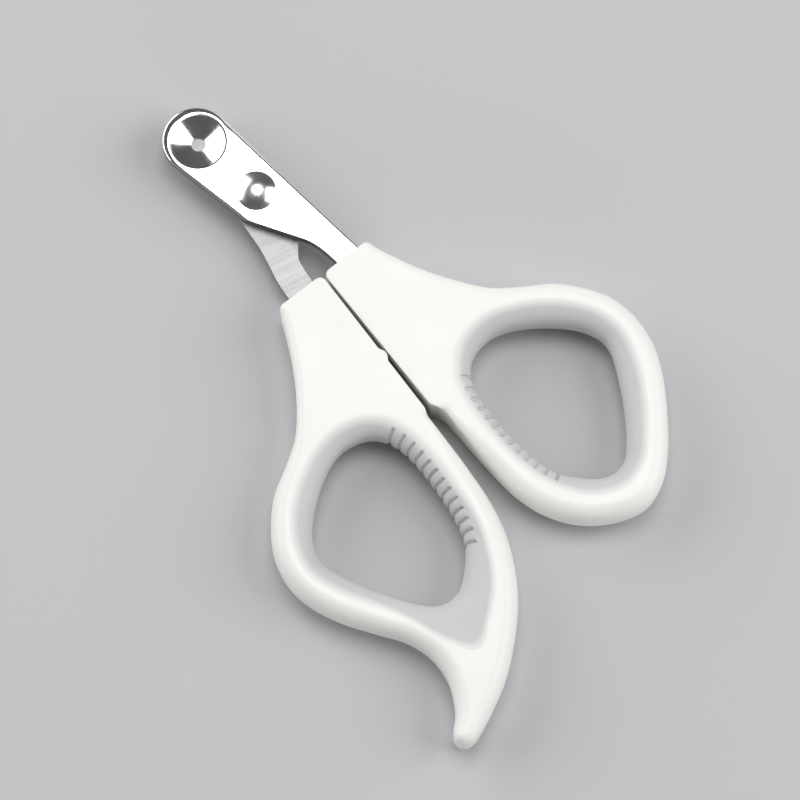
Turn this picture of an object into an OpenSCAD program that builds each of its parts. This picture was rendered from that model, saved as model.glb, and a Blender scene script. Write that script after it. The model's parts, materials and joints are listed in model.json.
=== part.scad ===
// Pet nail trimmer: two riveted blades with a claw hole, in two moulded ring handles.
// Millimetres. The tool lies flat: +Z is up, +Y points to the blade tip.
// The origin is the centre of the outline on the underside of the handles.

/* [Handles] */
// Thickness of both handles
handle_t = 10; // [9:0.5:12]
// Radius of the rounded outer edges
edge_r = 1.8; // [1:0.1:2.2]
// Rounded corner at the front of each neck, seen from above
neck_corner_r = 1.2; // [0.6:0.1:1.6]
// Gap between the closed stop and the other handle
stop_gap = 0.3; // [0.1:0.05:0.4]

/* [Grips] */
// Height of the soft liner where it meets the handle
grip_rim_h = 9.4; // [8:0.1:9.6]
// Height of the soft liner at the finger hole
grip_lip_h = 3.2; // [2:0.1:4]
// Number of ribs on each liner
rib_count = 13; // [9:1:13]
// Distance from one rib groove to the next
rib_pitch = 2.1; // [1.8:0.1:2.1]
// Radius of a rib groove
rib_r = 0.55; // [0.3:0.05:0.7]

/* [Blades] */
// Thickness of each blade
blade_t = 2.5; // [2:0.1:2.7]
// Gap between the two blades
blade_gap = 0.05; // [0.03:0.01:0.1]
// Radius of the upper blade's nose
nose_r = 6.45; // [6.2:0.05:6.8]
// Diameter of the hole that takes the claw
claw_hole_d = 2.8; // [2.2:0.1:3.6]
// Diameter of the countersink around the claw hole
countersink_d = 10.7; // [9:0.1:11.2]
// Straight length of the claw hole under its countersink
claw_land = 0.4; // [0.3:0.1:0.8]
// Angle of the lower blade's ground edge, from its flat face
grind_angle = 40; // [30:5:60]

/* [Rivet] */
// Diameter of the domed head and of the cap
rivet_head_d = 7.7; // [6.5:0.1:8.5]
// Height of the domed head
rivet_head_h = 1.5; // [1:0.1:2]
// Height of the cap on the back
rivet_cap_h = 1.2; // [0.8:0.1:1.6]
// Diameter of the shank
rivet_d = 4; // [3:0.1:4.5]

/* [Hidden] */

$fn = 64;
bore_play = 0.05;    // radial play of the lower blade on the shank
tang_play = 0.03;    // play of a tang in its pocket, on each side
curve_steps = 4;     // steps of a curve between two of its points
round_steps = 3;     // steps of the rounded long edges

// ---- Levels ----
mid_z = handle_t / 2;
lower_z = mid_z - blade_gap / 2 - blade_t;
upper_z = mid_z + blade_gap / 2;
upper_top = upper_z + blade_t;

// ---- Places, from the rivet's centre, +Y to the tip ----
split_x = -0.55;                  // centre of the split between the handles
front_y = -21.4;                  // front faces of the necks
tail_y = -108.7;                  // tip of the spur
nose = [-2.75, 15.25];            // centre of the nose's arc
claw = [-2.65, 14.7];             // centre of the claw hole
tip_y = nose[1] + nose_r;
upper_tang = [3.4, 8];             // sides of the upper blade's tang
lower_tang = [-7.7, -2.6];        // sides of the lower blade's tang
tang_end_y = -44;
lock_hole_y = -33;                // hole in each tang, filled by a plug of the handle
lock_hole_r = 1.3;
right_wall = [0.15, 0.15];        // distance of a neck's inner wall from the split, front and back
left_wall = [0.38, 1.1];
wall_end_y = -53.8;
stop_y = -40.9;                   // middle of the closed stop on the left neck
stop_r = 1.6;
rib_mid_y = -66.6;                // middle of the row of ribs
rivet_at = [-split_x, -(tip_y + tail_y) / 2];   // moves the rivet's frame into the part's frame

// Outer side of a neck and of the ring below it: distance from the split, and Y.
neck_side = [
    [11.1, -22.8], [12.4, -25.9], [14.9, -31], [18.6, -37], [23.2, -42.7], [28.2, -46.1],
    [33.6, -49.3], [37.8, -53.8], [40.6, -58.6], [41.7, -64.2]
];

// The rest of the right ring, round its bottom and up its inner side.
plain_ring = [
    [41, -70.4], [38.6, -76.2], [34.9, -82], [30.4, -87.8], [25.6, -92.1], [20, -93.9],
    [13.8, -92.2], [8.4, -88.4], [4.4, -82.8], [2.3, -76.2], [1.75, -69], [1.65, -62], [1.6, -57]
];

// The rest of the left ring, out round the spur and back up its inner side.
spur_ring = [
    [40.8, -69.9], [38, -75.9], [34.3, -81.2], [31, -85.9], [29.3, -91], [29.6, -96.8],
    [32.2, -102.2], [34.9, -105], [35.6, -106.8], [34.8, -108.2], [33, tail_y], [30.2, -107.9],
    [26, -106], [20.5, -102.9], [15, -98.4], [10.2, -93.4], [6.4, -87.6], [3.7, -81.4],
    [2.2, -74.6], [1.7, -67.5], [1.65, -61], [1.6, -57]
];

// Finger hole, the same in both rings.
finger_hole = [
    [17.3, -50], [20.8, -50.7], [24.6, -52.6], [28.7, -55.6], [32.2, -59.2], [34, -62.8],
    [34.1, -65.8], [32.4, -70.2], [29.5, -75.6], [26.3, -80.4], [23, -84.1], [20, -85.2],
    [17, -84.5], [13.8, -81.9], [10.9, -78.3], [9.5, -74], [8.8, -69], [8.5, -63.5],
    [8.8, -57.6], [10.3, -53.4], [13.2, -50.9]
];

// Where the soft liner meets the handle: each point lies outside the same point of the finger hole.
rim_top = [
    [16.3, -46.6], [20.9, -46.9], [25.6, -48.7], [30.2, -51.5], [34.6, -55.8], [37.2, -60.8],
    [37.8, -66.2]
];
rim_side = [[5.7, -69.5], [5.5, -63.5], [5.9, -57.2], [7.7, -51.9], [11.4, -48.1]];
plain_rim = concat(rim_top, [
    [35.9, -72.6], [32.6, -78.6], [28.9, -83.4], [24.8, -87.4], [19.9, -89.1], [15.6, -88.1],
    [11.6, -85.2], [8.1, -79.8], [6.5, -75]
], rim_side);
spur_rim = concat(rim_top, [
    [35.5, -72.4], [32, -77.8], [28.8, -83.4], [25.8, -90.8], [21.9, -96], [17, -93.2],
    [11.8, -88.4], [7.9, -81.6], [6.1, -75.8]
], rim_side);

// ---- Curves ----
// Point at t on the curve from b to c, with a before them and d after them.
function curve_point(a, b, c, d, t) =
    (2 * b + (c - a) * t + (2 * a - 5 * b + 4 * c - d) * t * t + (3 * b - a - 3 * c + d) * t * t * t) / 2;

// A closed curve through the points.
function closed_curve(p) = let (n = len(p)) [
    for (i = [0:n - 1], j = [0:curve_steps - 1])
        curve_point(p[(i + n - 1) % n], p[i], p[(i + 1) % n], p[(i + 2) % n], j / curve_steps)
];

// An open curve through the points, from the first to the last.
function open_curve(p) = let (last = len(p) - 1) concat([
    for (i = [0:last - 1], j = [0:curve_steps - 1])
        curve_point(p[max(i - 1, 0)], p[i], p[i + 1], p[min(i + 2, last)], j / curve_steps)
], [p[last]]);

// Points on an arc round c, from angle a to angle b.
function arc(c, r, a, b, n) = [for (i = [0:n]) c + r * [cos(a + (b - a) * i / n), sin(a + (b - a) * i / n)]];

// ---- Shared shapes ----
module in_place() translate([rivet_at[0], rivet_at[1], 0]) children();

// Puts a shape that is given by its distance from the split on the right (1) or left (-1) side.
module on_side(side) translate([split_x, 0, 0]) mirror([side < 0 ? 1 : 0, 0, 0]) children();

// Outline of a handle: round its outer side, back up the neck's inner wall, and across the front.
function handle_outline(ring, wall) =
    let (corner_y = front_y - neck_corner_r, outer_x = neck_side[0][0] - neck_corner_r - 0.15)
    concat(
        open_curve(concat(neck_side, ring)),
        [[(wall[1] + ring[len(ring) - 1][0]) / 2 + 0.2, wall_end_y - 1.6], [wall[1], wall_end_y]],
        arc([wall[0] + neck_corner_r, corner_y], neck_corner_r, 180, 90, 4),
        arc([outer_x, corner_y], neck_corner_r, 90, 10, 4)
    );

// The same outline, but grown past the front and past the inner wall of the neck.
function wide_outline(ring) = concat(
    open_curve(concat(neck_side, ring)),
    [[-4, wall_end_y], [-4, front_y + 4], [neck_side[0][0] - 0.8, front_y + 4]]
);

// A plate with the long edges of both faces rounded in steps.
module rounded_plate(outline) {
    for (i = [0:round_steps]) {
        // Each layer is one step higher than the last, and lies further in.
        margin = edge_r * (1 - sin(i * 90 / round_steps));
        inset = i == 0 ? 0 : edge_r * (1 - cos((i - 0.5) * 90 / round_steps));
        translate([0, 0, margin])
            linear_extrude(height = handle_t - 2 * margin) offset(delta = -inset) polygon(outline);
    }
}

// One handle's moulding, without its tang pocket: crisp where it faces the split, rounded elsewhere.
module moulding(ring, rim, wall) difference() {
    intersection() {
        rounded_plate(wide_outline(ring));
        linear_extrude(height = handle_t) polygon(handle_outline(ring, wall));
    }
    translate([0, 0, -1]) linear_extrude(height = handle_t + 2) polygon(closed_curve(rim));
}

// A soft liner between the rim and the finger hole. Both faces slope down into the hole.
module liner(rim, hole) {
    n = len(rim);
    rim_rise = grip_rim_h / 2;
    lip_rise = grip_lip_h / 2;
    // The section's points, as how far each lies from rim to hole, and its height over the middle.
    upper = [[0, rim_rise], [0.35, rim_rise - 0.3], [0.75, (rim_rise + lip_rise) / 2 + 0.6], [1, lip_rise]];
    section = concat(upper, [for (i = [3:-1:0]) [upper[i][0], -upper[i][1]]]);
    m = len(section);
    points = [
        for (s = section, i = [0:n - 1])
            let (p = rim[i] + (hole[i] - rim[i]) * s[0]) [p[0], p[1], mid_z + s[1]]
    ];
    polyhedron(points, [
        for (k = [0:m - 1], i = [0:n - 1])
            let (a = k * n + i, b = k * n + (i + 1) % n)
            let (c = ((k + 1) % m) * n + (i + 1) % n, d = ((k + 1) % m) * n + i)
            for (face = [[a, c, b], [a, d, c]]) face
    ]);
}

// Grooves between the ribs, down the upper and lower slopes on the split side of a finger hole.
module rib_grooves() {
    nearest_y = -63.5;      // where the finger hole comes nearest to the split
    bend = 0.012;           // how fast it curves away from there
    for (i = [0:rib_count - 1], face = [-1, 1]) {
        y = rib_mid_y + (i - (rib_count - 1) / 2) * rib_pitch;
        translate([7.9 + bend * pow(y - nearest_y, 2), y, mid_z + face * 3.5])
            rotate([0, face * 45 + 90, 0]) cylinder(r = rib_r, h = 4.4, center = true);
    }
}

module grip(side, rim) color([0.77, 0.78, 0.79]) in_place() on_side(side) difference() {
    liner(closed_curve(rim), closed_curve(finger_hole));
    rib_grooves();
}

// Pocket for a tang, open at the front of the neck.
module tang_pocket(tang, z) translate([tang[0] - tang_play, tang_end_y - tang_play, z - tang_play])
    cube([tang[1] - tang[0] + 2 * tang_play, front_y - tang_end_y + 1, blade_t + 2 * tang_play]);

// The plug of handle material that fills the lock hole of a tang.
module lock_plug(tang, z) translate([(tang[0] + tang[1]) / 2, lock_hole_y, z - 0.5])
    cylinder(r = lock_hole_r - tang_play, h = blade_t + 1);

// Corners of a tang, from its front corner at x_from, round its end, to the one at x_to.
function tang_corners(x_from, x_to) =
    [[x_from, front_y], [x_from, tang_end_y], [x_to, tang_end_y], [x_to, front_y]];

module lock_hole(tang) translate([(tang[0] + tang[1]) / 2, lock_hole_y, -1])
    cylinder(r = lock_hole_r, h = handle_t);

// A cut at 45 degrees along the upper edge from p to q, with the plate on its right-hand side.
module edge_chamfer(p, q, z, w) {
    run = q - p;
    translate([p[0], p[1], z]) rotate([0, 0, atan2(run[1], run[0])]) rotate([45, 0, 0])
        translate([-1, -w * sqrt(0.5), -w * sqrt(0.5)]) cube([norm(run) + 2, 2, 2]);
}

// A domed disc, r in radius and h high, with a short straight rim.
module dome(r, h, rim_h = 0.25) {
    crown = h - rim_h;
    ball_r = (pow(r, 2) + pow(crown, 2)) / (2 * crown);
    intersection() {
        cylinder(r = r, h = h + 1);
        translate([0, 0, h - ball_r]) sphere(r = ball_r, $fn = 120);
    }
}

// ---- Blades ----
module upper_blade() color("silver") in_place() {
    left_tangent = 192.7;
    right_tangent = -7.2;
    bevel_r = 5.9;     // inner edge of the nose's bevel, round the claw hole
    bevel_w = 1.4;
    side_bevel = 0.3;
    left_end = [-5.5, -1.5];
    right_end = [8.35, -20.8];
    nose_left = nose + nose_r * [cos(left_tangent), sin(left_tangent)];
    nose_right = nose + nose_r * [cos(right_tangent), sin(right_tangent)];
    outline = concat(
        arc(nose, nose_r, right_tangent, left_tangent, 48),
        open_curve([left_end, [-5.15, -3], [-4.3, -4.6]]),
        open_curve([[0.3, -11.8], [1.5, -13.7], [2.4, -15.9], [2.95, -18.3], [3.3, -20.8]]),
        tang_corners(upper_tang[0], upper_tang[1]),
        [right_end]
    );
    difference() {
        translate([0, 0, upper_z]) linear_extrude(height = blade_t) polygon(outline);
        translate([0, 0, -1]) cylinder(r = rivet_d / 2 + 0.02, h = handle_t + 2);
        translate([claw[0], claw[1], 0]) {
            cylinder(r = claw_hole_d / 2, h = handle_t);
            translate([0, 0, upper_z + claw_land])
                cylinder(r1 = claw_hole_d / 2, r2 = countersink_d / 2, h = blade_t - claw_land);
            rotate([0, 0, -4]) rotate_extrude(angle = 190) polygon([
                [bevel_r, upper_top], [bevel_r + bevel_w, upper_top - bevel_w],
                [bevel_r + bevel_w, upper_top + 1], [bevel_r, upper_top + 1]
            ]);
        }
        edge_chamfer(nose_left, left_end, upper_top, side_bevel);
        edge_chamfer(right_end, nose_right, upper_top, side_bevel);
        lock_hole(upper_tang);
    }
}

module lower_blade() color("lightgray") in_place() {
    heel = [-5.1, 1.5];           // ends of the ground cutting edge
    toe = [-6.6, 17.2];
    edge = toe - heel;
    outline = concat(
        open_curve([[-7.95, front_y], [-7.55, -16.4], [-6.85, -13], [-6.15, -9.3], [-5.85, -5.6], [-5.6, -2.4]]),
        [heel],
        open_curve([
            toe, [-5.1, 19.7], [-2.2, 20.9], [1.2, 20.3], [3.7, 18.3], [4.5, 15.4], [5, 11.2], [5.6, 5.6],
            [6.1, 0.4], [6.1, -3.4], [4.7, -6.6], [2.8, -9.4], [0.8, -12], [-0.45, -13.55], [-1.45, -14.9],
            [-1.8, -16], [-2.1, -18.4], [-2.35, front_y]
        ]),
        tang_corners(lower_tang[1], lower_tang[0])
    );
    difference() {
        translate([0, 0, lower_z]) linear_extrude(height = blade_t) polygon(outline);
        translate([0, 0, -1]) cylinder(r = rivet_d / 2 + bore_play, h = handle_t + 2);
        // The ground face falls away under the cutting edge, which lies against the upper blade.
        translate([heel[0], heel[1], lower_z + blade_t]) rotate([0, 0, atan2(edge[1], edge[0])])
            rotate([180 + grind_angle, 0, 0]) cube([norm(edge) + 3, blade_t / sin(grind_angle) + 1, 5]);
        lock_hole(lower_tang);
    }
}

// ---- Rivet ----
module pivot_rivet() color("silver") in_place() {
    translate([0, 0, upper_top]) dome(rivet_head_d / 2, rivet_head_h);
    shank_end = lower_z - bore_play - rivet_cap_h / 2;
    translate([0, 0, shank_end]) cylinder(r = rivet_d / 2, h = upper_top - shank_end + 0.2);
}

module rivet_cap() color("silver") in_place() difference() {
    translate([0, 0, lower_z - bore_play]) mirror([0, 0, 1]) dome(rivet_head_d / 2, rivet_cap_h);
    translate([0, 0, lower_z - bore_play - rivet_cap_h / 2])
        cylinder(r = rivet_d / 2 + 0.02, h = rivet_cap_h);
}

// ---- Handles ----
module right_handle() color([0.95, 0.95, 0.93]) in_place() {
    difference() {
        on_side(1) moulding(plain_ring, plain_rim, right_wall);
        tang_pocket(upper_tang, upper_z);
    }
    lock_plug(upper_tang, upper_z);
}

module left_handle() color([0.95, 0.95, 0.93]) in_place() {
    difference() {
        union() {
            on_side(-1) moulding(spur_ring, spur_rim, left_wall);
            closed_stop();
        }
        tang_pocket(lower_tang, lower_z);
    }
    lock_plug(lower_tang, lower_z);
}

// The bump on the left neck that meets the right neck's wall when the blades are closed.
module closed_stop() translate([split_x + right_wall[0] - stop_gap - stop_r, stop_y, 0.6])
    cylinder(r = stop_r, h = handle_t - 1.2);

// ---- Grips ----
module right_grip() grip(1, plain_rim);
module left_grip() grip(-1, spur_rim);

upper_blade();
lower_blade();
pivot_rivet();
rivet_cap();
right_handle();
left_handle();
right_grip();
left_grip();
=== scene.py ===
"""Looks of the pet nail trimmer: detailed handles, grips, upper blade and rivet, light and camera.

Lengths are metres in the part's frame: +Y to the blade tip, +Z up, the handles' underside at z = 0.
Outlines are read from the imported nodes, so that every piece keeps the size and place of its node.
"""

import json
import math

import bpy
import numpy as np
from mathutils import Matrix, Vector
from mathutils.geometry import tessellate_polygon

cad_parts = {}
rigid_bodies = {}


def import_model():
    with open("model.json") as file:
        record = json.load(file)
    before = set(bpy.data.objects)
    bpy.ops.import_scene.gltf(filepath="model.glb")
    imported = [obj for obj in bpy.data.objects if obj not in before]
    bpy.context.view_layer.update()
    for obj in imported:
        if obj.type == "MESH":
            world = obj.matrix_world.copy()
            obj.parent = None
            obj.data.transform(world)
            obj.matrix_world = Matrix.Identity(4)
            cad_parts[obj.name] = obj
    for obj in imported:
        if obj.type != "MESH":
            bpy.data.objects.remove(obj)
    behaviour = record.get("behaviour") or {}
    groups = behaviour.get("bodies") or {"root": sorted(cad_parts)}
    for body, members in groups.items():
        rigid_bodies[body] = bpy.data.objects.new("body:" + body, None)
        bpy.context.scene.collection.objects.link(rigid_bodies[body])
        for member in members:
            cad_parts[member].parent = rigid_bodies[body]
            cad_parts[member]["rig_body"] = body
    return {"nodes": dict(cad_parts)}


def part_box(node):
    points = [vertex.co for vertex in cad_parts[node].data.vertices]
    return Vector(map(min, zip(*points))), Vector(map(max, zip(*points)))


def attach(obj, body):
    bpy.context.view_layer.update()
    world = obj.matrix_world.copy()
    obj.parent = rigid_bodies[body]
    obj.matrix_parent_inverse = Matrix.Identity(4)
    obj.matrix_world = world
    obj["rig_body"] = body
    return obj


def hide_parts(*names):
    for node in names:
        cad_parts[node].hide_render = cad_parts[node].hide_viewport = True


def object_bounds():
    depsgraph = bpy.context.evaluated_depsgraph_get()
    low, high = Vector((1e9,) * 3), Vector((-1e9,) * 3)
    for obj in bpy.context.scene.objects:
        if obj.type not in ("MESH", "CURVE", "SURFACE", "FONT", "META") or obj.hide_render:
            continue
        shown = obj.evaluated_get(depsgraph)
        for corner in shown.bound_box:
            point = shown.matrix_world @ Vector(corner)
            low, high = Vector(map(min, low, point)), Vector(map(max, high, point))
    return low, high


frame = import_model()
cad_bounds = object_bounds()

MM = 0.001

# ---- Places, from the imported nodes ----
RIGHT_LOW, RIGHT_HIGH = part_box("right_handle")
TOP = RIGHT_HIGH.z
MID = (RIGHT_HIGH.z + RIGHT_LOW.z) / 2
FRONT = RIGHT_HIGH.y
SPLIT = (RIGHT_LOW.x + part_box("left_handle")[1].x) / 2
RING_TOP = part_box("right_grip")[1].y
WALL_LEVEL = TOP - 2.1 * MM  # a height above both blades where the handles' walls stand straight
RIVET_LOW, RIVET_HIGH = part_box("pivot_rivet")
RIVET = (RIVET_LOW + RIVET_HIGH) / 2
BLADE_LOW, BLADE_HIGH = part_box("upper_blade")

# ---- Shape of the mouldings ----
NECK_ROUND = 1.6 * MM        # rounding of a neck's outer edge, seen from above
INNER_ROUND = 0.9 * MM       # rounding of a ring's split side, beside the neck
INNER_SIDE = (7 * MM, 2.5 * MM)     # distances from the split where that one sets in and is full
RING_ROUND = 2.8 * MM        # rounding of a ring's outer edge
RING_STEEPER = 0.45          # how much deeper than wide that rounding is, as a share of its width
RING_SETS_IN = (6 * MM, -7 * MM)    # heights over the grip's top, on a ring's outer and split sides
RING_IS_FULL = (-4 * MM, -28 * MM)  # the same, where it is full
CRISP_SIDE = (1.45 * MM, 1.25 * MM)  # distances from the split between which an edge turns crisp
CRISP_FRONT = (-0.5 * MM, -0.2 * MM)  # the same for the front edge, along Y from the necks' front
CROWN = 2.2 * MM             # how far the gentle fall to the split and the front reaches in
CROWN_DROP = 0.1 * MM
CORNER = 0.09 * MM           # rounding of the crisp corner below that fall
ROOM_SHARE = 0.88            # part of the room inside an outline that its rounding may take
FLAT_GAP = 0.25 * MM         # least flat width between a handle's rounding and its roll
FLAT_RIM = 0.1 * MM          # narrow flat band inside the rounding, which keeps the top's shading flat
LIP_RISE = 1.0 * MM          # half height of the flat wall inside a finger hole
ROLL = 4.3 * MM              # how far the roll into a finger hole reaches out from its lip
ROLL_ON_HANDLE = 0.25 * MM   # least part of that reach that lies on the handle
SEAM = 0.003 * MM            # half of the clearance between handle and grip
BLEED = 1.6 * MM             # width over which the overmoulded grip takes its colour

# ---- Grooves between the grips' ribs ----
RIB_COUNT = 13
RIB_PITCH = 2.1 * MM
RIB_MID = -23.1 * MM         # the middle groove's place along Y
RIB_SIDE = 15 * MM           # the split side of a finger hole lies within this distance of the split
RIB_DEPTH = 0.52 * MM
RIB_WIDTH = 0.46 * MM        # half width of a groove
RIB_FLOOR = 0.3              # part of that half width that is at full depth
RIB_DEEPENS = (-1.2 * MM, 0.8 * MM)  # distances out from the lip over which a groove deepens
RIB_ENDS = (2.1 * MM, 1.7 * MM)      # distances out from the lip where it is gone and still whole

# ---- Shape of the steel parts ----
CLAW_LAND = 0.4 * MM         # straight part of the claw hole, under the countersink
MOUTH = 0.36 * MM            # width of the small chamfer at the countersink's mouth
MOUTH_TILT = math.radians(10.5)     # slope of that chamfer
CLAW_FLAT_R = 5.87 * MM      # the nose's bevel starts at this radius round the claw hole
NOSE_SETS_IN = (-3 * MM, 1 * MM)    # heights over the claw hole's centre between which it sets in
SIDE_BEVEL = 0.35 * MM
HEEL_BEVEL = 0.12 * MM       # narrower, on the heel's left side
HEEL_RIGHT = (4.5 * MM, 3.5 * MM)   # places right of the rivet between which the heel's left side starts
HEEL_TOP = (-2.5 * MM, -4 * MM)     # the same, along Y from the rivet
LOWER_BURR = 0.11 * MM       # rounding of the lower blade's edges
BURR = 0.06 * MM             # rounding of every other steel edge
DOME_RIM = 0.25 * MM         # height of the straight rim of the rivet's head and cap
# A polished bevel, from the blade's wall up to its flat: how far in, and how far down, in bevel widths.
BEVEL = ((0, 0.55), (0.04, 0.35), (0.14, 0.21), (0.28, 0.135), (1, 0))
HOLD = 0.08                  # part of a step's width that blends into the next step
GRIND_TURN = math.radians(-11)      # turn of the grinding lines, from straight across the lower blade

# ---- Fineness of the meshes ----
SAME_CUT = 0.005 * MM        # ends of cut segments within this are one point
SAME_POINT = 0.0005 * MM     # vertices within this are one vertex
STRAIGHT = math.radians(0.15)       # an outline's point that turns less than this is no corner
LONG_STEP = 3.0 * MM         # a straight step over this is cut into steps of at most SHORT_STEP
SHORT_STEP = 1.0 * MM
CURVE_STEPS = 8              # steps of the curve between two corners of an outline
SHARP = math.radians(32)     # edges over this angle are shaded sharp
OUTLINE_POINTS = 760
GRIP_POINTS = 880
BLADE_POINTS = 900
HOLE_POINTS = 240
ROUND_STEPS = 8
ROLL_STEPS = 4
GRIP_STEPS = 18
CORNER_STEPS = 3
DOME_STEPS = 26

# ---- Camera and lights ----
AIM = Vector((-2.27, -4.31, 0)) * MM
CAMERA_TURN = math.radians(38.307)
CAMERA_LEAN = math.radians(14.5)
CAMERA_DISTANCE = 0.81225
LENS = 192.4                 # focal length in millimetres
SENSOR = 36                  # the sensor's width in millimetres
NEAR_CLIP = 0.05
LAMP_DISTANCE = 1.3
FLOOR_HALF = 3.0


# ---- Outlines ----
def cut_segments(node, height):
    """Segments, as pairs of points, where the plane z = height cuts a node's mesh."""
    mesh = node.data
    mesh.calc_loop_triangles()
    points = np.empty(len(mesh.vertices) * 3)
    mesh.vertices.foreach_get("co", points)
    points = points.reshape(-1, 3)
    segments = []
    for triangle in mesh.loop_triangles:
        corners = points[list(triangle.vertices)]
        above = corners[:, 2] > height
        if above.all() or not above.any():
            continue
        ends = []
        for a, b in ((0, 1), (1, 2), (2, 0)):
            if above[a] != above[b]:
                share = (height - corners[a, 2]) / (corners[b, 2] - corners[a, 2])
                ends.append(corners[a, :2] + share * (corners[b, :2] - corners[a, :2]))
        segments.append(ends)
    return segments


def outlines(node, height):
    """Closed outlines of a node at a height, longest first, each an array of 2D points."""
    def key(point):
        return tuple(np.round(point / SAME_CUT).astype(int))

    meets = {}
    place = {}
    for start, end in cut_segments(node, height):
        a, b = key(start), key(end)
        if a == b:
            continue
        place[a], place[b] = start, end
        meets.setdefault(a, []).append(b)
        meets.setdefault(b, []).append(a)
    loops = []
    left = set(meets)
    while left:
        loop = [min(left)]
        left.discard(loop[0])
        while True:
            ahead = [p for p in meets[loop[-1]] if p in left]
            if not ahead:
                break
            loop.append(ahead[0])
            left.discard(ahead[0])
        loops.append(np.array([place[p] for p in loop]))
    return sorted(loops, key=lambda loop: -steps_of(loop).sum())


def steps_of(loop):
    """Length of each step of a closed loop."""
    return np.linalg.norm(np.roll(loop, -1, 0) - loop, axis=1)


def signed_area(loop):
    ahead = np.roll(loop, -1, 0)
    return float((loop[:, 0] * ahead[:, 1] - loop[:, 1] * ahead[:, 0]).sum() / 2)


def without_straight_points(loop):
    """The loop with only its real corners, where its direction changes."""
    back = loop - np.roll(loop, 1, 0)
    ahead = np.roll(loop, -1, 0) - loop
    turn = np.abs(back[:, 0] * ahead[:, 1] - back[:, 1] * ahead[:, 0])
    turn /= np.linalg.norm(back, axis=1) * np.linalg.norm(ahead, axis=1)
    return loop[turn > math.sin(STRAIGHT)]


def with_long_steps_split(loop):
    """The loop with each step over LONG_STEP cut into steps of at most SHORT_STEP."""
    points = []
    for a, b in zip(loop, np.roll(loop, -1, 0)):
        length = np.linalg.norm(b - a)
        count = math.ceil(length / SHORT_STEP) if length > LONG_STEP else 1
        points += [a + (b - a) * i / count for i in range(count)]
    return np.array(points)


def evenly_spaced(points, count, closed=True):
    """Count points at even steps along a line of points."""
    line = np.vstack([points, points[:1]]) if closed else points
    along = np.concatenate([[0], np.cumsum(np.linalg.norm(np.diff(line, axis=0), axis=1))])
    at = np.linspace(0, along[-1], count, endpoint=not closed)
    return np.column_stack([np.interp(at, along, line[:, k]) for k in range(2)])


def rounded_loop(loop, count):
    """A smooth loop of even steps through the corners of a polygon, counter-clockwise."""
    if signed_area(loop) < 0:
        loop = loop[::-1]
    p1 = with_long_steps_split(without_straight_points(loop))
    p0, p2, p3 = np.roll(p1, 1, 0), np.roll(p1, -1, 0), np.roll(p1, -2, 0)
    # Centripetal curve through four points at a time, by Barry and Goldman's steps.
    k1 = np.sqrt(np.linalg.norm(p1 - p0, axis=1))[:, None]
    k2 = k1 + np.sqrt(np.linalg.norm(p2 - p1, axis=1))[:, None]
    k3 = k2 + np.sqrt(np.linalg.norm(p3 - p2, axis=1))[:, None]
    fine = []
    for t in np.arange(CURVE_STEPS) / CURVE_STEPS:
        k = k1 + (k2 - k1) * t
        a1 = p0 * (k1 - k) / k1 + p1 * k / k1
        a2 = p1 * (k2 - k) / (k2 - k1) + p2 * (k - k1) / (k2 - k1)
        a3 = p2 * (k3 - k) / (k3 - k2) + p3 * (k - k2) / (k3 - k2)
        b1 = a1 * (k2 - k) / k2 + a2 * k / k2
        b2 = a2 * (k3 - k) / (k3 - k1) + a3 * (k - k1) / (k3 - k1)
        fine.append(b1 * (k2 - k) / (k2 - k1) + b2 * (k - k1) / (k2 - k1))
    fine = np.stack(fine, axis=1).reshape(-1, 2)
    return softened(evenly_spaced(fine, count), passes=3)


def softened(values, passes):
    """Values round a closed loop, each averaged with its neighbours a few times."""
    for _ in range(passes):
        values = (np.roll(values, 1, 0) + 2 * values + np.roll(values, -1, 0)) / 4
    return values


def inward(loop):
    """Unit normals into a counter-clockwise loop."""
    along = np.roll(loop, -1, 0) - np.roll(loop, 1, 0)
    along /= np.linalg.norm(along, axis=1)[:, None]
    return np.column_stack([-along[:, 1], along[:, 0]])


def room_inside(loop, normals):
    """Radius of the largest circle that touches each point of a loop from inside."""
    apart = loop[None] - loop[:, None]
    depth = (apart * normals[:, None]).sum(2)
    square = (apart ** 2).sum(2)
    with np.errstate(divide="ignore", invalid="ignore"):
        radius = np.where(depth > 1e-9, square / (2 * depth), np.inf)
    return radius.min(1)


def distance_to(points, loop):
    """Distance of each point from the nearest side of a loop."""
    nearest = ((points[:, None] - loop[None]) ** 2).sum(2).argmin(1)
    found = np.full(len(points), np.inf)
    for before, after in ((-1, 0), (0, 1)):
        a = loop[(nearest + before) % len(loop)]
        side = loop[(nearest + after) % len(loop)] - a
        share = np.clip(((points - a) * side).sum(1) / (side ** 2).sum(1), 0, 1)
        found = np.minimum(found, np.linalg.norm(points - a - side * share[:, None], axis=1))
    return found


def smoothstep(low, high, value):
    t = np.clip((value - low) / (high - low), 0, 1)
    return t * t * (3 - 2 * t)


def paired_loops(rim, lip, count):
    """The two loops with points that face each other.

    They are matched where they reach farthest right, up, left and down.
    """
    ways = np.array(((1, 0), (0, 1), (-1, 0), (0, -1)))
    paired = []
    for loop in (rim, lip):
        ends = [int(np.argmax(loop @ way)) for way in ways]
        parts = []
        for a, b in zip(ends, ends[1:] + ends[:1]):
            stretch = loop[a:b + 1] if a < b else np.vstack([loop[a:], loop[:b + 1]])
            parts.append(evenly_spaced(stretch, count // len(ways) + 1, closed=False)[:-1])
        paired.append(softened(np.vstack(parts), passes=6))
    return paired


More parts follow.
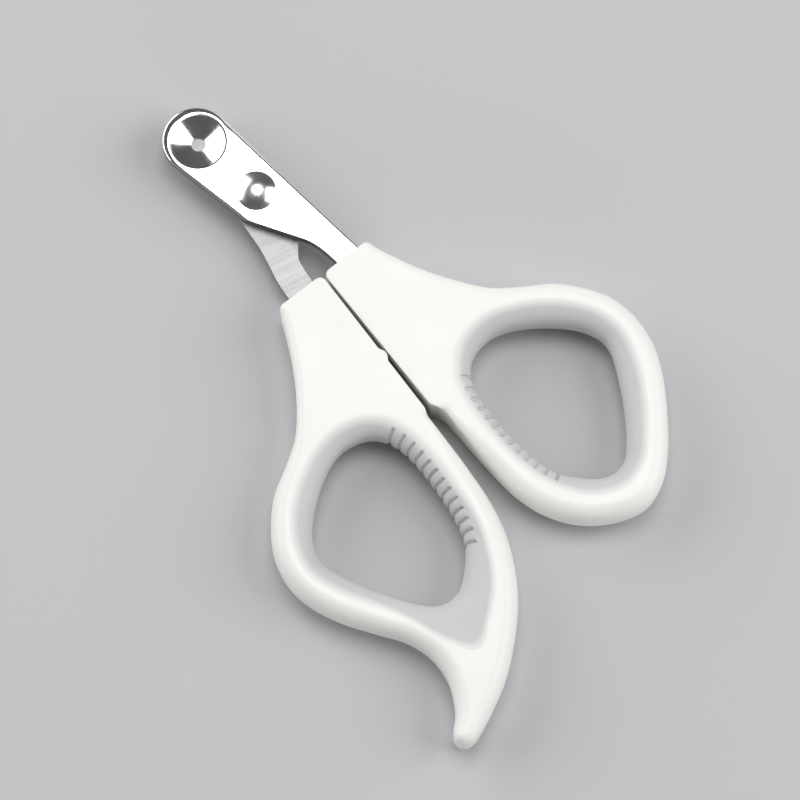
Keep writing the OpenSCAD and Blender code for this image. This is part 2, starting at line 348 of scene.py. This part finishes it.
# ---- Meshes ----
def new_object(name, vertices, faces, material):
    """A smooth-shaded mesh, with its corners over SHARP left sharp.

    A fourth column of the vertices, if there is one, is kept as the attribute from_rim.
    """
    mesh = bpy.data.meshes.new(name)
    vertices = np.asarray(vertices, float)
    mesh.from_pydata(vertices[:, :3].tolist(), [], faces)
    if vertices.shape[1] == 4:
        mesh.attributes.new("from_rim", "FLOAT", "POINT").data.foreach_set("value", vertices[:, 3])
    mesh.update()
    mesh.polygons.foreach_set("use_smooth", [True] * len(mesh.polygons))
    mesh.set_sharp_from_angle(angle=SHARP)
    mesh.materials.append(material)
    piece = bpy.data.objects.new(name, mesh)
    bpy.context.scene.collection.objects.link(piece)
    return piece


def at_height(loop, z):
    """A 2D loop as 3D points. z is one height or one for each point."""
    return np.column_stack([loop, np.broadcast_to(z, len(loop))])


def bands(loop_count, points, first=0):
    """Quads between loops that follow each other in a list of vertices."""
    faces = []
    for a in range(first, first + (loop_count - 1) * points, points):
        b = a + points
        for i in range(points):
            j = (i + 1) % points
            faces.append((a + i, a + j, b + j, b + i))
    return faces


def roll_height(out):
    """Height over the middle of the roll into a finger hole, by the distance out from its lip."""
    share = np.clip(out / ROLL, 0, 1)
    return LIP_RISE + (TOP - MID - LIP_RISE) * np.sqrt(1 - (1 - share) ** 2)


def blend(low, high, share):
    """The value a share of the way from low to high."""
    return low + (high - low) * share


def edge_rounding(loop):
    """How the edge is rounded at each point of a handle's outline.

    Returns the rounding's reach in from the outline, its drop, and how crisp the edge is, from 0 to 1.
    """
    side = np.abs(loop[:, 0] - SPLIT)
    inner = smoothstep(*INNER_SIDE, side)
    start = RING_TOP + blend(*RING_SETS_IN, inner)
    end = RING_TOP + blend(*RING_IS_FULL, inner)
    ring = smoothstep(start, end, loop[:, 1])
    plain = blend(NECK_ROUND, INNER_ROUND, inner)
    crisp = np.maximum(smoothstep(*CRISP_SIDE, side), smoothstep(*CRISP_FRONT, loop[:, 1] - FRONT))
    reach = blend(blend(plain, RING_ROUND, ring), CROWN, crisp)
    return reach, (1 + RING_STEEPER * ring) * reach, softened(crisp, passes=4)


def edge_drop(share, reach, drop, crisp):
    """How far the edge lies below the flat top.

    share runs from 0 at the outline to 1 at the end of the reach.
    """
    rounded = drop * (1 - math.sqrt(1 - (1 - share) ** 2))
    near = np.clip(share * reach / CORNER, 0, 1)
    corner = CORNER * (1 - np.sqrt(1 - (1 - near) ** 2)) + CROWN_DROP * (1 - share) ** 2
    return blend(rounded, corner, crisp)


def outer_loops(outline, roll_edge):
    """Loops from a handle's outline at the middle height, over its rounded edge, to its flat top.

    The rounding stays clear of roll_edge, the loop where the roll into the finger hole starts.
    """
    normals = inward(outline)
    wanted, drop, crisp = edge_rounding(outline)
    to_roll = distance_to(outline, roll_edge) - FLAT_GAP
    limit = np.minimum(ROOM_SHARE * room_inside(outline, normals), to_roll)
    reach = np.minimum(softened(np.minimum(wanted, limit), passes=16), limit)
    reach = softened(reach, passes=2)
    drop = softened(drop / wanted, passes=16) * reach
    loops = [at_height(outline, MID)]
    for k in range(ROUND_STEPS + 1):
        share = 1 - math.cos(math.radians(90 * k / ROUND_STEPS))
        height = TOP - edge_drop(share, reach, drop, crisp)
        loops.append(at_height(outline + normals * (share * reach)[:, None], height))
    loops.append(at_height(outline + normals * (reach + FLAT_RIM)[:, None], TOP))
    return loops


def handle_loops(outline, rim, lip):
    """Loops of a handle's upper half: from its outline to the flat top, and from there into its rim."""
    rim_out = -inward(rim)
    roll_out = softened(np.maximum(ROLL - distance_to(rim, lip), ROLL_ON_HANDLE), passes=12)
    inner = []
    for k in range(ROLL_STEPS, -1, -1):
        loop = rim + rim_out * (roll_out * k / ROLL_STEPS + SEAM)[:, None]
        height = TOP if k == ROLL_STEPS else MID + roll_height(distance_to(loop, lip))
        inner.append(at_height(loop, height))
    inner.append(at_height(rim + rim_out * SEAM, MID))
    return outer_loops(outline, rim + rim_out * roll_out[:, None]), inner


def flat_cap(loops, firsts):
    """Triangles that fill the flat face inside the first loop and outside the others.

    firsts are the numbers of the loops' first vertices.
    """
    rings = [[Vector((p[0], p[1], 0)) for p in loop] for loop in loops]
    index = [first + i for first, ring in zip(firsts, rings) for i in range(len(ring))]
    return [tuple(index[c] for c in corners) for corners in tessellate_polygon(rings)]


def facing(vertices, faces, up):
    """The faces, each turned so that its normal points up (1) or down (-1)."""
    turned = []
    for face in faces:
        a, b, c = (vertices[k] for k in face[:3])
        normal_z = (b[0] - a[0]) * (c[1] - a[1]) - (b[1] - a[1]) * (c[0] - a[0])
        turned.append(tuple(face) if normal_z * up > 0 else tuple(reversed(face)))
    return turned


def handle_mesh(outline, rim, lip):
    """Vertices and faces of a whole handle, its lower half the mirror image of its upper half."""
    outer, inner = handle_loops(outline, rim, lip)
    n_out, n_in = len(outline), len(rim)
    half = np.vstack(outer + inner)
    inner_first = len(outer) * n_out
    faces = bands(len(outer), n_out)
    faces += bands(len(inner), n_in, inner_first)
    cap = flat_cap([outer[-1], inner[0]], [inner_first - n_out, inner_first])
    faces += facing(half, cap, 1)
    return with_mirror_half(half, faces)


def merged(vertices, faces):
    """The mesh with vertices that share a place made one."""
    keys = [tuple(k) for k in np.round(vertices[:, :3] / SAME_POINT).astype(np.int64)]
    first = {}
    new_index = [first.setdefault(k, len(first)) for k in keys]
    kept = np.empty((len(first), vertices.shape[1]))
    for old, new in enumerate(new_index):
        kept[new] = vertices[old]
    kept_faces = []
    for face in faces:
        corners = list(dict.fromkeys(new_index[i] for i in face))
        if len(corners) > 2:
            kept_faces.append(tuple(corners))
    return kept, kept_faces


def rib_depth(points, lip):
    """How deep the grooves between the ribs cut at each point.

    They are evenly spaced along the lip, and run square to it.
    """
    along = np.concatenate([[0], np.cumsum(steps_of(lip))])
    on_split_side = np.abs(lip[:, 0] - SPLIT) < RIB_SIDE
    middle = along[int(np.argmin(np.where(on_split_side, np.abs(lip[:, 1] - RIB_MID), np.inf)))]
    nearest = ((points[:, None, :2] - lip[None]) ** 2).sum(2).argmin(1)
    away = (along[nearest] - middle + along[-1] / 2) % along[-1] - along[-1] / 2
    groove = np.clip(np.round(away / RIB_PITCH), -(RIB_COUNT // 2), RIB_COUNT // 2) * RIB_PITCH
    cut = smoothstep(RIB_WIDTH, RIB_FLOOR * RIB_WIDTH, np.abs(away - groove))
    reach = np.linalg.norm(points[:, :2] - lip[nearest], axis=1)
    return RIB_DEPTH * cut * smoothstep(*RIB_ENDS, reach) * smoothstep(*RIB_DEEPENS, reach)


def grip_mesh(rim, lip):
    """Vertices and faces of a soft liner, with ribs on the split side of its finger hole.

    The vertices' fourth column is the distance from the rim.
    """
    rim, lip = paired_loops(rim, lip, GRIP_POINTS)
    rim = rim + inward(rim) * SEAM
    width = np.linalg.norm(lip - rim, axis=1)
    rows = [at_height(rim, MID)]
    shares = [0.0]
    for k in range(GRIP_STEPS + 1):
        # Steps get shorter towards the lip, where the roll is steepest.
        share = math.sin(math.radians(90 * k / GRIP_STEPS))
        loop = rim + (lip - rim) * share
        rows.append(at_height(loop, MID + roll_height(distance_to(loop, lip))))
        shares.append(share)
    rows.append(at_height(lip, MID))
    shares.append(1.0)
    grid = np.stack(rows)
    around = np.roll(grid, -1, 1) - np.roll(grid, 1, 1)
    into = np.cross(np.gradient(grid, axis=0), around)
    into /= np.linalg.norm(into, axis=2)[:, :, None]
    for row, lean in zip(grid[2:], into[2:]):
        row += lean * rib_depth(row, lip)[:, None]
    from_rim = np.array(shares)[:, None] * width
    half = np.concatenate([grid, from_rim[:, :, None]], axis=2).reshape(-1, 4)
    return with_mirror_half(half, bands(len(rows), GRIP_POINTS))


def with_mirror_half(half, faces):
    """A closed mesh from its upper half, open at the middle height, and the mirror image below."""
    count = len(half)
    lower = half.copy()
    lower[:, 2] = 2 * MID - half[:, 2]
    faces = faces + [tuple(count + i for i in reversed(face)) for face in faces]
    return merged(np.vstack([half, lower]), faces)


def circle(centre, radius, z):
    turn = np.arange(HOLE_POINTS) * 2 * math.pi / HOLE_POINTS
    x = centre[0] + radius * np.cos(turn)
    y = centre[1] + radius * np.sin(turn)
    return at_height(np.column_stack([x, y]), z)


def held(profile):
    """The profile with points added near both ends of each step.

    Smooth shading then keeps the step's own slope.
    """
    points = [profile[0]]
    for a, b in zip(profile, profile[1:]):
        for share in (HOLD, 1 - HOLD, 1):
            points.append(tuple(blend(p, q, share) for p, q in zip(a, b)))
    return points


def plate_mesh(outline, low, high, bevel, holes):
    """A plate with the shape BEVEL round its upper edge, of a width for each point of the outline.

    Each hole is its centre and its profile, which lists (radius, z) from the upper face to the lower one.
    """
    normals = inward(outline)
    rows = [at_height(outline + normals * BURR, low), at_height(outline, low + BURR)]
    for across, down in held(BEVEL):
        rows.append(at_height(outline + normals * (bevel * across)[:, None], high - bevel * down))
    vertices = rows
    faces = bands(len(rows), len(outline))
    lower, lower_first = [rows[0]], [0]
    upper, upper_first = [rows[-1]], [(len(rows) - 1) * len(outline)]
    count = len(rows) * len(outline)
    for centre, profile in holes:
        rings = [circle(centre, radius, z) for radius, z in profile]
        faces += bands(len(rings), HOLE_POINTS, count)
        upper.append(rings[0])
        upper_first.append(count)
        lower.append(rings[-1])
        lower_first.append(count + (len(rings) - 1) * HOLE_POINTS)
        vertices = vertices + rings
        count += len(rings) * HOLE_POINTS
    vertices = np.vstack(vertices)
    faces += facing(vertices, flat_cap(upper, upper_first), 1)
    faces += facing(vertices, flat_cap(lower, lower_first), -1)
    return vertices, faces


def turned_mesh(centre, profile):
    """A solid of revolution, closed at both ends.

    The profile lists (radius, z) from the bottom to the top, between the two points on the axis.
    """
    rings = [circle(centre, radius, z) for radius, z in profile]
    faces = bands(len(rings), HOLE_POINTS)
    ends = [(*centre, rings[0][0, 2]), (*centre, rings[-1][0, 2])]
    first = len(rings) * HOLE_POINTS
    for i in range(HOLE_POINTS):
        j = (i + 1) % HOLE_POINTS
        faces.append((first, j, i))
        faces.append((first + 1, first - HOLE_POINTS + i, first - HOLE_POINTS + j))
    return np.vstack(rings + [np.array(ends)]), faces


def dome_profile(radius, low, high):
    """Points (radius, z) of a domed disc: its lower edge, its short straight rim, and its dome."""
    crown = high - low - DOME_RIM
    ball = (radius ** 2 + crown ** 2) / (2 * crown)
    edge = math.asin(radius / ball)
    points = []
    for k in range(CORNER_STEPS + 1):
        # A smooth turn, with the disc's lower corner as its control point.
        t = k / CORNER_STEPS
        points.append((radius - BURR * (1 - t) ** 2, low + BURR * t * t))
    for k in range(DOME_STEPS):
        tilt = edge * (1 - k / DOME_STEPS)
        points.append((ball * math.sin(tilt), high - ball * (1 - math.cos(tilt))))
    return points


# ---- Materials ----
class Shader:
    """A material with a Principled shader, and short calls for the nodes that feed it."""

    def __init__(self, name, **constants):
        self.material = bpy.data.materials.new(name)
        self.material.use_nodes = True
        self.nodes = self.material.node_tree.nodes
        self.links = self.material.node_tree.links
        self.surface = self.nodes["Principled BSDF"]
        for socket, value in constants.items():
            self.surface.inputs[socket.replace("_", " ")].default_value = value
        self.place = self.nodes.new("ShaderNodeTexCoord").outputs["Object"]

    def feed(self, socket, value):
        if isinstance(value, bpy.types.NodeSocket):
            self.links.new(value, socket)
        else:
            socket.default_value = value

    def noise(self, size, detail=2.0, stretch=(1, 1, 1), turn=0.0, distortion=0.0):
        """Noise from 0 to 1, with features of about a size, stretched along axes turned about Z."""
        mapping = self.nodes.new("ShaderNodeMapping")
        self.feed(mapping.inputs["Vector"], self.place)
        mapping.vector_type = "TEXTURE"
        mapping.inputs["Scale"].default_value = stretch
        mapping.inputs["Rotation"].default_value = (0, 0, turn)
        texture = self.nodes.new("ShaderNodeTexNoise")
        self.feed(texture.inputs["Vector"], mapping.outputs["Vector"])
        texture.inputs["Scale"].default_value = 1 / size
        texture.inputs["Detail"].default_value = detail
        texture.inputs["Distortion"].default_value = distortion
        return texture.outputs["Fac"]

    def spread(self, value, low, high, start=0.3, end=0.7):
        """The value, taken from start..end to low..high."""
        node = self.nodes.new("ShaderNodeMapRange")
        self.feed(node.inputs["Value"], value)
        for socket, number in (("From Min", start), ("From Max", end), ("To Min", low), ("To Max", high)):
            node.inputs[socket].default_value = number
        return node.outputs["Result"]

    def tone(self, value, dark, light):
        """A colour between two, by a value from 0 to 1."""
        node = self.nodes.new("ShaderNodeMix")
        node.data_type = "RGBA"
        self.feed(node.inputs["Factor"], value)
        colours = [socket for socket in node.inputs if socket.type == "RGBA"]
        for socket, colour in zip(colours, (dark, light)):
            self.feed(socket, colour if isinstance(colour, bpy.types.NodeSocket) else (*colour, 1))
        return next(socket for socket in node.outputs if socket.type == "RGBA")

    def add(self, a, b):
        return self.math("ADD", a, b)

    def times(self, a, b):
        return self.math("MULTIPLY", a, b)

    def math(self, operation, a, b):
        node = self.nodes.new("ShaderNodeMath")
        node.operation = operation
        self.feed(node.inputs[0], a)
        self.feed(node.inputs[1], b)
        return node.outputs["Value"]

    def bump(self, height, depth, under=None):
        """Surface relief of a depth in metres, by a height from 0 to 1.

        under is a relief that this one adds to.
        """
        node = self.nodes.new("ShaderNodeBump")
        node.inputs["Strength"].default_value = 1.0
        node.inputs["Distance"].default_value = depth
        self.feed(node.inputs["Height"], height)
        if under:
            self.feed(node.inputs["Normal"], under)
        self.feed(self.surface.inputs["Normal"], node.outputs["Normal"])
        return node.outputs["Normal"]


IVORY = (0.85, 0.845, 0.815)
# Painted shade: a darker, warmer tone for the walls that face the split, where shade falls in the narrow
# gap.
SPLIT_SHADE_TONE = (0.6, 0.585, 0.52)


def in_split(m):
    """1 on the walls that face the split, where shade is painted, and 0 at their upper and lower corners.
    """
    parts = m.nodes.new("ShaderNodeSeparateXYZ")
    m.feed(parts.inputs["Vector"], m.place)
    side = m.math("ABSOLUTE", m.add(parts.outputs["X"], -SPLIT), 0)
    height = m.math("ABSOLUTE", m.add(parts.outputs["Z"], -MID), 0)
    near = m.spread(side, 1, 0, start=1.0 * MM, end=1.5 * MM)
    corner = TOP - MID
    low = m.spread(height, 1, 0, start=corner - 0.8 * MM, end=corner - 0.1 * MM)
    return m.times(near, low)


def satin_plastic():
    """Ivory ABS with the fine grain of a satin mould, soft rubbed patches, and painted shade on the walls
    of the split.
    """
    m = Shader("satin_plastic", Subsurface_Weight=0.2, Subsurface_Scale=0.8 * MM)
    m.surface.inputs["Subsurface Radius"].default_value = (1.0, 0.95, 0.85)
    grain = m.noise(0.16 * MM, detail=3)
    waves = m.noise(9 * MM, detail=1)
    rubbed = m.noise(14 * MM, detail=3, distortion=0.6)
    tone = m.tone(m.spread(m.noise(22 * MM), 0, 1), (0.83, 0.825, 0.79), IVORY)
    # Painted shade on the walls that face the split, mottled by the rubbed noise.
    split_shade = m.times(in_split(m), m.spread(rubbed, 0.6, 1))
    m.feed(m.surface.inputs["Base Color"], m.tone(split_shade, tone, SPLIT_SHADE_TONE))
    roughness = m.add(m.spread(grain, -0.03, 0.03), m.spread(rubbed, 0.36, 0.46))
    m.feed(m.surface.inputs["Roughness"], roughness)
    m.bump(grain, 0.002 * MM, under=m.bump(waves, 0.015 * MM))
    return m.material


def soft_rubber():
    """Pale grey thermoplastic rubber with a powdery grain, lit through by the plastic at its rim."""
    m = Shader("soft_rubber", Sheen_Weight=0.08, Sheen_Roughness=0.5)
    grain = m.noise(0.12 * MM, detail=4)
    rubbed = m.noise(8 * MM, detail=3, distortion=0.4)
    patches = m.spread(m.noise(12 * MM), 0, 1)
    grey = m.tone(patches, (0.545, 0.55, 0.552), (0.575, 0.58, 0.582))
    inside = m.nodes.new("ShaderNodeAttribute")
    inside.attribute_name = "from_rim"
    depth = m.spread(inside.outputs["Fac"], 0.15, 1, start=0, end=BLEED)
    m.feed(m.surface.inputs["Base Color"], m.tone(depth, IVORY, grey))
    roughness = m.add(m.spread(grain, -0.05, 0.05), m.spread(rubbed, 0.5, 0.62))
    m.feed(m.surface.inputs["Roughness"], roughness)
    m.bump(grain, 0.004 * MM)
    return m.material


def distance_from(m, centre):
    """Each point's distance from an upright line through a centre."""
    away = m.nodes.new("ShaderNodeVectorMath")
    away.operation = "MULTIPLY_ADD"
    m.feed(away.inputs[0], m.place)
    away.inputs[1].default_value = (1, 1, 0)
    away.inputs[2].default_value = (-centre[0], -centre[1], 0)
    length = m.nodes.new("ShaderNodeVectorMath")
    length.operation = "LENGTH"
    m.feed(length.inputs[0], away.outputs["Vector"])
    return length.outputs["Value"]


def polished_steel(name, centre, turned_r, dull):
    """Mirror-polished stainless steel with faint polishing lines, and turned rings round a centre.

    dull is how much rougher the rings are than the rest.
    """
    m = Shader(name, Metallic=1.0)
    radius = distance_from(m, centre)
    turned = m.spread(radius, 1, 0, start=turned_r - 0.02 * MM, end=turned_r + 0.02 * MM)
    rings = m.nodes.new("ShaderNodeTexNoise")
    rings.noise_dimensions = "1D"
    m.feed(rings.inputs["W"], radius)
    rings.inputs["Scale"].default_value = 1 / (0.09 * MM)
    rings.inputs["Detail"].default_value = 3
    lines = m.noise(0.05 * MM, detail=4, stretch=(1, 60, 1))
    smudge = m.noise(5 * MM, detail=4, distortion=1.2)
    mottle = m.noise(0.7 * MM, detail=4)
    tone = m.tone(m.spread(smudge, 0, 1), (0.86, 0.86, 0.86), (0.90, 0.90, 0.895))
    m.feed(m.surface.inputs["Base Color"], tone)
    worn = m.add(m.spread(lines, 0, 0.03), m.spread(smudge, 0.06, 0.12))
    duller = m.times(turned, m.spread(mottle, 0.8 * dull, 1.2 * dull))
    m.feed(m.surface.inputs["Roughness"], m.add(worn, duller))
    m.bump(m.times(turned, rings.outputs["Fac"]), 0.0006 * MM, under=m.bump(lines, 0.00015 * MM))
    return m.material


def stamped_steel():
    """The blade's blank edge: duller and darker than its ground faces, with lines along it."""
    m = Shader("stamped_steel", Metallic=1.0)
    layers = m.noise(0.12 * MM, detail=4, stretch=(40, 40, 1))
    tone = m.tone(m.spread(layers, 0, 1), (0.16, 0.155, 0.15), (0.36, 0.35, 0.34))
    m.feed(m.surface.inputs["Base Color"], tone)
    m.feed(m.surface.inputs["Roughness"], m.spread(layers, 0.28, 0.42))
    m.bump(layers, 0.004 * MM)
    return m.material


def brushed_steel():
    """Ground stainless steel, with fine grinding lines across the blade."""
    m = Shader("brushed_steel", Metallic=1.0, Anisotropic=0.4)
    lines = m.noise(0.06 * MM, detail=3, stretch=(200, 1, 1), turn=GRIND_TURN)
    broad = m.noise(0.2 * MM, detail=3, stretch=(90, 1, 1), turn=GRIND_TURN)
    tone = m.tone(m.spread(lines, 0, 1), (0.26, 0.264, 0.268), (0.56, 0.565, 0.57))
    m.feed(m.surface.inputs["Base Color"], tone)
    roughness = m.add(m.spread(lines, 0.0, 0.16), m.spread(broad, 0.36, 0.46))
    m.feed(m.surface.inputs["Roughness"], roughness)
    m.bump(lines, 0.002 * MM, under=m.bump(broad, 0.002 * MM))
    return m.material


# ---- Pieces ----
def stand_in(node, shape, material):
    """A detailed piece in place of a CAD node, on the node's body."""
    piece = new_object(node + "_detail", *shape, material)
    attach(piece, frame["nodes"][node]["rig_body"])
    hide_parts(node)
    return piece


def with_even_flats(piece):
    """Shading that keeps flat faces flat beside their rounded edges."""
    flats = piece.modifiers.new("even_flats", "WEIGHTED_NORMAL")
    flats.keep_sharp = True


def show_half(side, plastic, rubber):
    """The detailed handle and grip of one side."""
    handle = frame["nodes"][side + "_handle"]
    grip = frame["nodes"][side + "_grip"]
    outer, rim = [rounded_loop(loop, OUTLINE_POINTS) for loop in outlines(handle, WALL_LEVEL)[:2]]
    low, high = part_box(side + "_handle")
    outer = np.clip(outer, low[:2], high[:2])  # the smooth outline stays inside the node's box
    lip = rounded_loop(outlines(grip, MID)[1], OUTLINE_POINTS)
    stand_in(side + "_handle", handle_mesh(outer, rim, lip), plastic)
    stand_in(side + "_grip", grip_mesh(rim, lip), rubber)


def round_hole(loop):
    """Centre and radius of a round hole's outline."""
    centre = (loop.max(0) + loop.min(0)) / 2
    return centre, float(distance_to(centre[None], loop)[0])


def plain_profile(radius, low, high):
    """Points (radius, z) of a hole with broken edges, from the upper face to the lower one."""
    return [(radius + BURR, high), (radius, high - BURR), (radius, low + BURR), (radius + BURR, low)]


def claw_profile(radius, mouth_r, low, high):
    """The same for the countersunk claw hole, with a small chamfer at its mouth."""
    brim = high - MOUTH * math.tan(MOUTH_TILT)
    slope = (brim - low - CLAW_LAND) / (mouth_r - radius)
    points = [(mouth_r + MOUTH + BURR, high)] + held([(mouth_r + MOUTH, high), (mouth_r, brim)])
    points += [(mouth_r - BURR / 2, brim - BURR / 2 * slope), (radius, low + CLAW_LAND)]
    return points + plain_profile(radius, low, high)[2:]


def bevel_widths(outline, claw):
    """Width of the upper blade's bevel at each point: wide round the nose, narrow at the heel."""
    from_claw = np.linalg.norm(outline - claw, axis=1)
    nose = smoothstep(*NOSE_SETS_IN, outline[:, 1] - claw[1])
    across = outline - np.array(RIVET[:2])
    heel = smoothstep(*HEEL_RIGHT, across[:, 0]) * smoothstep(*HEEL_TOP, across[:, 1])
    side = blend(SIDE_BEVEL, HEEL_BEVEL, heel)
    return softened(blend(side, np.maximum(from_claw - CLAW_FLAT_R, SIDE_BEVEL), nose), passes=6)


def show_upper_blade():
    """The upper blade, with its countersunk claw hole and the wide bevel round its nose."""
    low, high = BLADE_LOW.z, BLADE_HIGH.z
    loops = outlines(frame["nodes"]["upper_blade"], low + CLAW_LAND / 2)
    claw, mouth_r = round_hole(outlines(frame["nodes"]["upper_blade"], high - BURR)[1])
    outline = rounded_loop(loops[0], BLADE_POINTS)
    holes = []
    for centre, radius in map(round_hole, loops[1:]):
        if np.linalg.norm(centre - claw) < MM:
            holes.append((centre, claw_profile(radius, mouth_r, low, high)))
        else:
            holes.append((centre, plain_profile(radius, low, high)))
    shape = plate_mesh(outline, low, high, bevel_widths(outline, claw), holes)
    steel = polished_steel("polished_blade", claw, mouth_r, dull=0.06)
    piece = stand_in("upper_blade", shape, steel)
    piece.data.materials.append(stamped_steel())
    # The second band of faces is the wall, between the lower edge and the bevel.
    for wall in piece.data.polygons[BLADE_POINTS:2 * BLADE_POINTS]:
        wall.material_index = 1
    with_even_flats(piece)


def show_rivet():
    """The rivet with its domed head, and the domed cap that closes it below."""
    centre = RIVET[:2]
    radius = (RIVET_HIGH.x - RIVET_LOW.x) / 2
    steel = polished_steel("polished_rivet", centre, radius, dull=0.12)
    shank = round_hole(outlines(frame["nodes"]["pivot_rivet"], MID)[0])[1]
    head_low = BLADE_HIGH.z
    stem = [(shank - BURR, RIVET_LOW.z), (shank, RIVET_LOW.z + BURR), (shank, head_low)]
    head = dome_profile(radius, head_low, RIVET_HIGH.z)
    stand_in("pivot_rivet", turned_mesh(centre, stem + head), steel)
    cap_low, cap_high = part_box("rivet_cap")
    dome = dome_profile((cap_high.x - cap_low.x) / 2, -cap_high.z, -cap_low.z)
    bottom_up = [(r, -z) for r, z in reversed(dome)]
    stand_in("rivet_cap", turned_mesh(centre, bottom_up), steel)


def show_lower_blade(steel):
    """The lower blade keeps its node, with its sharp edges broken by a small round."""
    piece = frame["nodes"]["lower_blade"]
    for slot in piece.material_slots:
        slot.material = steel
    weld = piece.modifiers.new("join_faces", "WELD")
    weld.merge_threshold = 0.001 * MM
    bevel = piece.modifiers.new("break_edges", "BEVEL")
    bevel.width = LOWER_BURR
    bevel.segments = 2
    bevel.limit_method = "ANGLE"
    bevel.angle_limit = math.radians(28)
    with_even_flats(piece)


# ---- Room: floor, lights, camera ----
def floor():
    """A plain pale surface under the trimmer."""
    paint = Shader("floor_paint", Base_Color=(0.50, 0.51, 0.52, 1), Roughness=0.75)
    low = cad_bounds[0][2]
    signs = ((-1, -1), (1, -1), (1, 1), (-1, 1))
    corners = [(FLOOR_HALF * x, FLOOR_HALF * y, low) for x, y in signs]
    sheet = new_object("floor", corners, [(0, 1, 2, 3)], paint.material)


def softbox(name, lean, towards, size, power, shape="RECTANGLE"):
    """A flat light that leans from straight up, towards an angle of the camera's view, in degrees.

    Its size is its two sides.
    """
    angle = math.radians(towards) - CAMERA_TURN
    lean = math.radians(lean)
    way = Vector((math.sin(lean) * math.cos(angle), math.sin(lean) * math.sin(angle), math.cos(lean)))
    data = bpy.data.lights.new(name, "AREA")
    data.shape = shape
    data.size, data.size_y = size
    data.energy = power
    lamp = bpy.data.objects.new(name, data)
    lamp.location = AIM + way * LAMP_DISTANCE
    lamp.rotation_euler = way.to_track_quat("Z", "Y").to_euler()
    bpy.context.scene.collection.objects.link(lamp)


def camera():
    data = bpy.data.cameras.new("camera")
    data.sensor_width = SENSOR
    data.lens = LENS
    data.clip_start = NEAR_CLIP
    eye = bpy.data.objects.new("camera", data)
    eye.rotation_euler = (CAMERA_LEAN, 0, -CAMERA_TURN)
    back = eye.rotation_euler.to_matrix() @ Vector((0, 0, 1))
    eye.location = AIM + back * CAMERA_DISTANCE
    bpy.context.scene.collection.objects.link(eye)
    bpy.context.scene.camera = eye


def room():
    world = bpy.data.worlds.new("studio")
    world.use_nodes = True
    glow = world.node_tree.nodes["Background"].inputs
    glow["Color"].default_value = (0.97, 0.98, 1.0, 1)
    glow["Strength"].default_value = 0.1
    bpy.context.scene.world = world
    bpy.context.scene.view_settings.view_transform = "Standard"
    floor()
    softbox("overhead", lean=15, towards=85, size=(0.69, 0.69), power=6.1, shape="DISK")
    softbox("right_box", lean=55, towards=2, size=(1.05, 1.15), power=11.8)
    softbox("left_box", lean=63, towards=152, size=(1.7, 1.0), power=14)
    softbox("low_box", lean=79, towards=-88, size=(1.4, 0.42), power=4.4)
    camera()


plastic = satin_plastic()
rubber = soft_rubber()
for side in ("right", "left"):
    show_half(side, plastic, rubber)
show_upper_blade()
show_rivet()
show_lower_blade(brushed_steel())
room()
